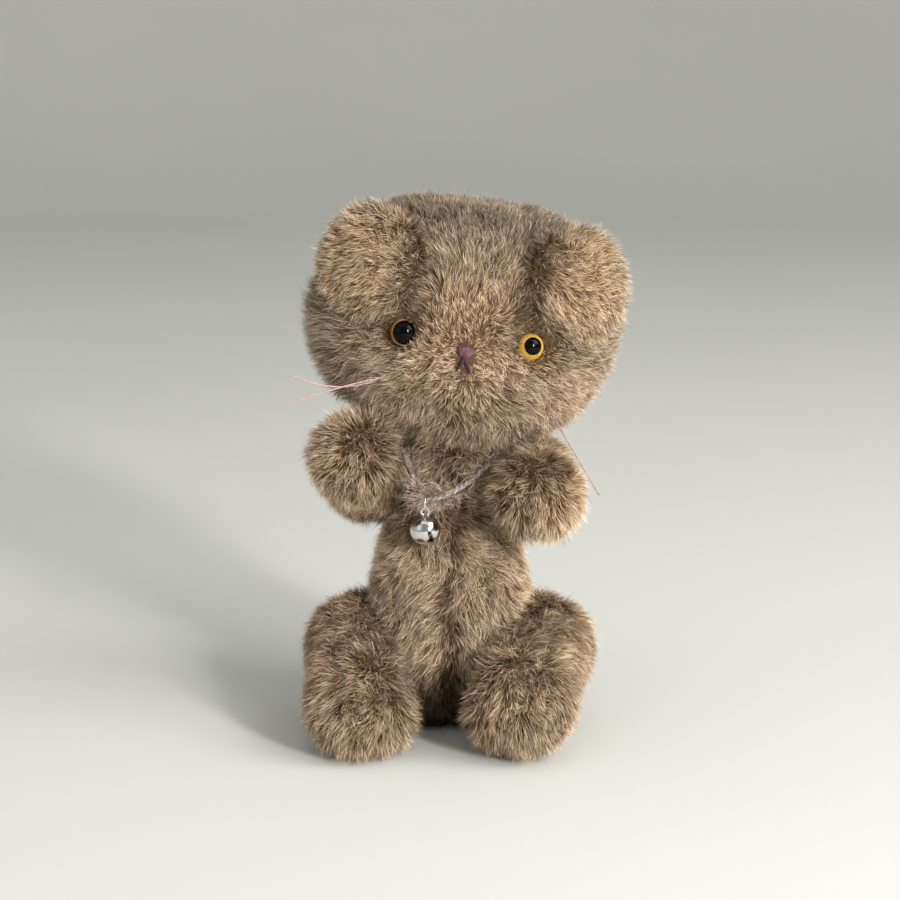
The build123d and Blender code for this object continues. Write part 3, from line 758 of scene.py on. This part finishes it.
def torso_pile():
    """Hair that falls and parts at the belly seam, with painted shade under the head and in the gap between
    the legs.
    """
    points, normals = scatter(torso_skin.data, DENSITY)
    kept = normals[:, 2] > SEAT_FACING
    points, normals = points[kept], normals[kept]
    parting = np.exp(-(points[:, :1] / (3.5 * MM)) ** 2)
    flow = vec((0, 0, -1)) + normals * vec((0.5, 0, 0))
    flow = flow + np.sign(points[:, :1]) * vec((0.25, 0, 0)) * (1 + 4 * parting)
    seam = np.exp(-(points[:, 0] / (1.2 * MM)) ** 2) * (points[:, 1] < 0)
    # Painted shade on the upper torso under the head
    chest_with_painted_shade = smoothstep(points[:, 2], 40 * MM, 52 * MM)
    # Painted shade in the gap between the legs, at the front
    hollow_with_painted_shade = (1 - smoothstep(points[:, 2], 8 * MM, 19 * MM)) * smoothstep(-points[:, 1], 2 * MM, 8 * MM)
    patch = noise(points, 6 * MM, 1)
    band = pick_bands(len(points), {
        HEATHER: 0.9 * (1 - hollow_with_painted_shade),
        CREAM: 0.55 + 0.12 * patch - 0.3 * chest_with_painted_shade - 0.6 * hollow_with_painted_shade,
        GREY: 0.25 + 0.3 * smoothstep(points[:, 1], 0, 8 * MM),
        UMBER: 0.22 + 0.3 * chest_with_painted_shade + 6 * hollow_with_painted_shade + 3 * seam,
        WARM: 0.35 + 0.3 * chest_with_painted_shade,
        MAUVE: 0.12,
        GOLD: 0.15 - 0.1 * patch,
    })
    shade = 0.09 - 0.08 * chest_with_painted_shade - 0.5 * hollow_with_painted_shade - 0.25 * seam
    front = points[:, 1] < 0
    length = PILE_LENGTH * (1 - 0.45 * seam)
    for name, part in (("torso_pile_front", front), ("torso_pile_back", ~front)):
        grow(name, "torso", points[part], normals[part], flow[part], TORSO_LEAN,
             length[part], band[part], shade[part], wild=0.5)


def tail_pile():
    """Hair that points to the tail's tip."""
    points, normals = scatter(tail_skin.data, DENSITY)
    toward_tip = unit(coordinates(tail_skin.data).mean(0) - centre_of("torso_stuffing")) * vec((0, 1, 1))
    band = pick_bands(len(points), {HEATHER: 0.8, GREY: 0.6, UMBER: 0.3, WARM: 0.3, CREAM: 0.12})
    comb = np.tile(toward_tip, (len(points), 1))
    grow("tail_pile", "torso", points, normals, comb, TAIL_LEAN, PILE_LENGTH * 0.9, band, -0.08)


def limb_pile(limb, skin, pivot, outward, along, seam_at):
    """Hair that runs down toward the paw, short and dark along the seam, with painted shade on the inner
    side; the right arm is painted lighter.
    """
    leg = limb.startswith("leg")
    points, normals = scatter(skin.data, DENSITY)
    offset = points - pivot
    far = offset @ along
    tip = smoothstep(far, 0.5 * far.max(), far.max())
    fall = vec((0, 0, -0.9)) + outward * 0.35
    comb = along * (0.35 - 0.5 * tip)[:, None] + fall
    seam = np.exp(-((offset @ outward - seam_at) / (0.9 * MM)) ** 2)
    # Painted shade on the side of the limb that faces the body
    inner_side_painted_shade = smoothstep(-normals @ outward, 0.4, 0.9)
    patch = noise(points, 5 * MM, 1)
    band = pick_bands(len(points), {
        HEATHER: 0.8,
        CREAM: 0.16 + 0.12 * tip + 0.1 * patch,
        GREY: 0.22,
        UMBER: 0.26 + 1.8 * seam + 1.5 * inner_side_painted_shade,
        WARM: 0.45,
        GOLD: 0.45 - 0.1 * patch,
        MAUVE: 0.08,
    })
    # The right arm is painted lighter, as if lit; the inner side gets painted shade
    shade = (0.16 if limb == "arm_right" else 0.02) - 0.16 * seam - 0.14 * inner_side_painted_shade
    lean = LEG_LEAN - 0.2 * tip if leg else ARM_LEAN - 0.3 * tip
    length = PILE_LENGTH * (0.95 - 0.3 * seam)
    grow(f"{limb}_pile", limb, points, normals, comb, lean, length, band, shade)


torso_pile()
tail_pile()
for limb, facts in limbs.items():
    limb_pile(limb, *facts)


# Threads and tubes

def tube(line, radii, sides=8):
    """Vertices and faces of a round tube along a line, closed at both ends."""
    line = np.asarray(line, float)
    radii = np.broadcast_to(radii, len(line))
    heading = unit(np.gradient(line, axis=0))
    side = unit(np.cross(heading[0], vec((0.3, 0.2, 1))))
    vertices, faces = [], []
    for index, (point, ahead, radius) in enumerate(zip(line, heading, radii)):
        side = unit(side - (side @ ahead) * ahead)
        other = np.cross(ahead, side)
        for turn in range(sides):
            angle = math.tau * turn / sides
            vertices.append(point + radius * (side * math.cos(angle) + other * math.sin(angle)))
        if index:
            base = (index - 1) * sides
            for turn in range(sides):
                after = (turn + 1) % sides
                faces.append((base + turn, base + after, base + sides + after, base + sides + turn))
    faces.append(tuple(reversed(range(sides))))
    faces.append(tuple(range(len(vertices) - sides, len(vertices))))
    return vertices, faces


def tubes_mesh(name, lines, radii, sides=8):
    vertices, faces = [], []
    for line, radius in zip(lines, radii):
        more, sewn = tube(line, radius, sides)
        faces += [tuple(i + len(vertices) for i in face) for face in sewn]
        vertices += more
    return mesh_from(name, vertices, faces)


def arc_points(first, middle, last, count):
    """A smooth line through three points."""
    t = np.linspace(0, 1, count)[:, None]
    control = 2 * middle - (first + last) / 2
    return (1 - t) ** 2 * first + 2 * t * (1 - t) * control + t ** 2 * last


# Nose: satin stitches over a small dome, drawn together below

NOSE_STRANDS = 13
FLOSS_RADIUS = 0.17 * MM
MOUTH_THREAD_RADIUS = 0.26 * MM


def nose_stitches():
    """Strands that fan over the dome and draw together at its lower tip."""
    nose_at = head_local(NOSE[None])[0]
    low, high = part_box("nose")
    half_width = (high.x - low.x) / 2 * 0.88
    half_height = (high.z - low.z) / 2 * 0.9
    depth = (high.y - low.y) / 2
    strands, widths = [], []
    for index in range(NOSE_STRANDS):
        share = 2 * index / (NOSE_STRANDS - 1) - 1
        t = np.linspace(0, 1, 14)
        narrow = 1 - 0.86 * smoothstep(t, 0.25, 1.0)
        across = half_width * share * narrow
        top = half_height * (0.92 - 0.35 * share ** 2)
        up = top + (-half_height - top) * t
        from_middle = (across / half_width) ** 2 + (up / half_height) ** 2
        proud = depth * (2 * np.sqrt(np.clip(1 - 0.75 * from_middle, 0, 1)) - 1)
        strands.append(np.stack([head_world(nose_at[0] + a, nose_at[1] - p, nose_at[2] + u)
                                 for a, p, u in zip(across, proud, up)]))
        widths.append(FLOSS_RADIUS * (1 - 0.25 * t))
    nose = new_object("nose_stitches", tubes_mesh("nose_stitches", strands, widths), FLOSS_PURPLE, "head")
    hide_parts("nose")


def mouth_threads():
    """Two doubled threads that spread from a knot under the nose."""
    low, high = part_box("mouth_stitches")
    mouth_at = head_local(centre_of("mouth_stitches")[None])[0]
    half_width, half_height = (high.x - low.x) / 2, (high.z - low.z) / 2
    knot = head_world(mouth_at[0], low.y - NECK[1] + 0.1 * MM, mouth_at[2] + half_height + 0.5 * MM)
    threads, widths = [], []
    for share in (-1, 1):
        for lift in (0.0, 0.3 * MM):
            end = head_world(
                mouth_at[0] + share * half_width, mouth_at[1] - 0.05 * MM, mouth_at[2] - half_height + lift)
            middle = (knot + end) / 2 + vec((share * 0.15 * MM, -0.25 * MM, -0.1 * MM))
            threads.append(arc_points(knot + vec((0, 0, lift)), middle, end, 10))
            widths.append(np.full(10, MOUTH_THREAD_RADIUS))
    mouth = new_object("mouth_threads", tubes_mesh("mouth_threads", threads, widths), FLOSS_DARK, "head")
    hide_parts("mouth_stitches")


nose_stitches()
mouth_threads()


# Collar: two plies of mohair yarn with a haze of loose hairs

COLLAR_ROUTE = [
    (0.65, 12.6, 65.0), (8.82, 8.82, 64.5), (11.6, -1.0, 64.0), (8.52, -11.82, 60.0), (-1.4, -17.5, 54.2),
    (-7.4, -17.5, 54.2), (-8.82, -11.52, 61.0), (-11.6, -2.0, 65.0), (-8.82, 8.82, 65.0), (-0.65, 12.6, 65.0),
]
PLY_RADIUS = 0.38 * MM
PLY_OFFSET = 0.3 * MM       # from the yarn's middle
PLY_PITCH = 2.6 * MM        # one turn of the twist
KNOT_LOOP = 0.85 * MM
HAZE_HAIRS = 5200
HAZE_LEAN = 1.05
HAZE_LENGTH = 3.8 * MM
WISP_LENGTH = 7.5 * MM
WISP_SHARE = 0.15           # of the haze


def route_line(route, resolution=24):
    """A smooth NURBS line with the route's points as its control points."""
    curve = bpy.data.curves.new("route", "CURVE")
    curve.dimensions = "3D"
    curve.resolution_u = resolution
    spline = curve.splines.new("NURBS")
    spline.points.add(len(route) - 1)
    for point, place in zip(spline.points, route):
        point.co = (*(c * MM for c in place), 1)
    spline.order_u = 3
    spline.use_endpoint_u = True
    holder = bpy.data.objects.new("route", curve)
    mesh = bpy.data.meshes.new_from_object(holder)
    line = coordinates(mesh)
    bpy.data.objects.remove(holder)
    return line


def make_collar():
    """The plies, the knot at the nape and the haze."""
    collar_line = route_line(COLLAR_ROUTE)
    heading = unit(np.gradient(collar_line, axis=0))
    steps = np.linalg.norm(np.diff(collar_line, axis=0), axis=1)
    run = np.concatenate([[0], np.cumsum(steps)])
    side = unit(np.cross(heading, vec((0, 0, 1))))
    over = np.cross(side, heading)
    plies = []
    for start in (0, math.pi):
        turn = (run / PLY_PITCH * math.tau + start)[:, None]
        plies.append(collar_line + PLY_OFFSET * (side * np.cos(turn) + over * np.sin(turn)))
    knot_at = (collar_line[0] + collar_line[-1]) / 2
    loops = []
    t = np.linspace(0, math.tau, 24)[:, None]
    for tilt in (0.4, 1.6, 2.7):
        first = vec((0.4, math.cos(tilt), math.sin(tilt)))
        second = vec((0.9, -0.3 * math.sin(tilt), 0.3))
        loops.append(knot_at + KNOT_LOOP * (np.cos(t) * first + np.sin(t) * second))
    strands = {"collar": plies, "collar_knot": loops}
    collar, collar_knot = (
        new_object(name, tubes_mesh(name, lines, [PLY_RADIUS] * len(lines)), YARN_CORE, "torso")
        for name, lines in strands.items()
    )
    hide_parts("collar_yarn")

    at = RNG.integers(1, len(collar_line) - 1, HAZE_HAIRS)
    angle = RNG.uniform(0, math.tau, HAZE_HAIRS)[:, None]
    normals = side[at] * np.cos(angle) + over[at] * np.sin(angle)
    points = collar_line[at] + heading[at] * RNG.normal(0, 0.3 * MM, HAZE_HAIRS)[:, None] + normals * 0.5 * MM
    comb = heading[at] * RNG.choice([-1, 1], HAZE_HAIRS)[:, None] - vec((0, 0, 0.4))
    length = np.where(RNG.random(HAZE_HAIRS) < WISP_SHARE, WISP_LENGTH, HAZE_LENGTH)
    lean, free = np.full(HAZE_HAIRS, HAZE_LEAN), np.full(HAZE_HAIRS, LONGEST)
    line = fibre_lines(points, normals, comb, lean, length, free, wild=0.5, gather=0.35)[0]
    band, tone = np.full(HAZE_HAIRS, YARN), RNG.normal(0.66, 0.2, HAZE_HAIRS)
    haze_mesh = ribbons("collar_fuzz", line, normals, band, tone, FIBRE_WIDTH * 0.7)
    haze = new_object("collar_fuzz", haze_mesh, PILE, "torso")


make_collar()


# Glass eyes: gold iris behind a clear dome, with a wide black pupil

def eye_material(side, gaze, pupil, iris_light, iris_dark):
    made = Nodes(f"eye_glass_{side}")
    centre, radius = EYES[side]
    place = made.add("ShaderNodeTexCoord").outputs["Object"]
    offset = made.add("ShaderNodeVectorMath", {0: place, 1: tuple(centre)}, operation="SUBTRACT").outputs[0]
    outward = made.add("ShaderNodeVectorMath", {0: offset}, operation="NORMALIZE").outputs[0]
    axis = tuple(unit(vec(gaze)))
    facing = made.add("ShaderNodeVectorMath", {0: outward, 1: axis}, operation="DOT_PRODUCT").outputs["Value"]
    angle = made.math("ARCCOSINE", facing)
    noise_inputs = {"Vector": outward, "Scale": 9.0, "Detail": 5.0, "Roughness": 0.7}
    flecks = made.add("ShaderNodeTexNoise", noise_inputs).outputs["Fac"]
    wander = made.math("MULTIPLY", made.math("SUBTRACT", flecks, 0.5), 0.05)
    radial = made.math("DIVIDE", made.math("ADD", angle, wander), math.pi / 2)
    iris = made.ramp(flecks, [(0.35, iris_dark), (0.62, iris_light)])
    clear, none = (1, 1, 1), (0, 0, 0)
    rings = made.ramp(radial, [(0.0, none), (pupil - 0.01, none), (pupil + 0.02, clear), (1.0, clear)])
    shown = made.mix(rings, (*srgb(6, 4, 4), 1), iris)
    rim = made.ramp(radial, [(0.0, clear), (0.80, clear), (0.95, srgb(70, 36, 16)), (1.0, srgb(30, 16, 8))])
    made.drive("Base Color", made.mix(1.0, shown, rim, "MULTIPLY"))
    made.set(Roughness=0.3, Specular_IOR_Level=0.0, Coat_Weight=0.6, Coat_Roughness=0.02, Coat_IOR=1.3)
    return made.material


def paint(node, material):
    data = nodes[node].data
    data.materials.clear()
    data.materials.append(material)


EYE_LOOKS = {               # gaze, pupil's share of the dome, pale and dark of the iris
    "left": ((0.16, -1, 0.08), 0.66, srgb(196, 148, 76), srgb(112, 70, 30)),
    "right": ((0.30, -1, 0.20), 0.44, srgb(226, 184, 84), srgb(146, 98, 34)),
}
for side, look in EYE_LOOKS.items():
    paint(f"eye_{side}_glass", eye_material(side, *look))


# Carried-over CAD nodes

for name in nodes:
    if name.endswith("_stuffing"):
        paint(name, WADDING)
    elif name.endswith("_disc"):
        paint(name, FIBREBOARD)
    elif name.endswith(("_washer", "_washers", "_pin", "_shank")) or name == "bell_pellet":
        paint(name, STEEL)
    elif name.startswith("whiskers"):
        paint(name, WHISKER)
    elif name in ("bell", "jump_ring"):
        paint(name, NICKEL)


# Floor, lights and camera

FLOOR_REACH = 1.2
SWEEP_RADIUS = 0.6
WALL_TOP = 1.5


def backdrop():
    """A pale floor that sweeps up all round, far outside the cat."""
    profile = [(0.0, 0.0), (0.4, 0.0), (0.8, 0.0), (FLOOR_REACH, 0.0)]
    for step in range(1, 9):
        turn = math.pi / 2 * step / 8
        profile.append((FLOOR_REACH + SWEEP_RADIUS * math.sin(turn), SWEEP_RADIUS * (1 - math.cos(turn))))
    profile.append((FLOOR_REACH + SWEEP_RADIUS, WALL_TOP))
    around = 72
    vertices = [(0.0, 0.0, 0.0)]
    for reach, height in profile[1:]:
        for turn in range(around):
            angle = math.tau * turn / around
            vertices.append((reach * math.cos(angle), reach * math.sin(angle), height))
    faces = [(0, 1 + turn, 1 + (turn + 1) % around) for turn in range(around)]
    for row in range(len(profile) - 2):
        base = 1 + row * around
        for turn in range(around):
            after = (turn + 1) % around
            faces.append((base + turn, base + around + turn, base + around + after, base + after))
    return mesh_from("floor", vertices, faces)


floor_mesh = backdrop()
floor = bpy.data.objects.new("floor", floor_mesh)
bpy.context.scene.collection.objects.link(floor)
floor_look = Nodes("floor")
floor_place = floor_look.add("ShaderNodeTexCoord").outputs["Object"]
floor_noise = floor_look.add("ShaderNodeTexNoise", {"Vector": floor_place, "Scale": 4.0}).outputs["Fac"]
floor_tones = [(0.3, srgb(216, 216, 211)), (0.7, srgb(220, 220, 215))]
floor_look.drive("Base Color", floor_look.ramp(floor_noise, floor_tones))
floor_look.set(Roughness=0.9)
floor_mesh.materials.append(floor_look.material)

TARGET = Vector((0, 0, 61.5 * MM))


def aim(thing, at=TARGET):
    thing.rotation_euler = (at - thing.location).to_track_quat("-Z", "Y").to_euler()


def softbox(name, azimuth, elevation, distance, width, height, watts, colour=(1, 1, 1)):
    """A light that faces the cat; azimuth is measured from the front toward the right."""
    light = bpy.data.lights.new(name, "AREA")
    light.shape = "RECTANGLE"
    light.size, light.size_y = width, height
    light.energy = watts
    light.color = colour
    turn, rise = math.radians(azimuth), math.radians(elevation)
    holder = bpy.data.objects.new(name, light)
    holder.location = TARGET + distance * Vector((
        math.sin(turn) * math.cos(rise), -math.cos(turn) * math.cos(rise), math.sin(rise)))
    bpy.context.scene.collection.objects.link(holder)
    aim(holder)


softbox("window", 34, 18, 0.9, 0.09, 0.26, 7.4, (1.0, 0.985, 0.96))
softbox("key", 62, 38, 1.0, 0.60, 0.60, 6.0, (1.0, 0.985, 0.96))
softbox("fill", -50, 25, 1.1, 0.70, 0.70, 0.8, (0.95, 0.98, 1.0))
softbox("top", 0, 88, 1.2, 1.4, 1.4, 3.5)

world = bpy.data.worlds.new("studio")
world.use_nodes = True
world.node_tree.nodes["Background"].inputs["Color"].default_value = (0.80, 0.81, 0.82, 1)
world.node_tree.nodes["Background"].inputs["Strength"].default_value = 0.42
bpy.context.scene.world = world
bpy.context.scene.view_settings.view_transform = "Standard"

CAMERA_DISTANCE = 0.450
CAMERA_RISE = math.radians(12)
lens = bpy.data.cameras.new("camera")
lens.lens = 80
lens.sensor_width = 36
lens.clip_start = 0.01
camera = bpy.data.objects.new("camera", lens)
camera.location = TARGET + Vector((0, -math.cos(CAMERA_RISE), math.sin(CAMERA_RISE))) * CAMERA_DISTANCE
bpy.context.scene.collection.objects.link(camera)
aim(camera)
bpy.context.scene.camera = camera
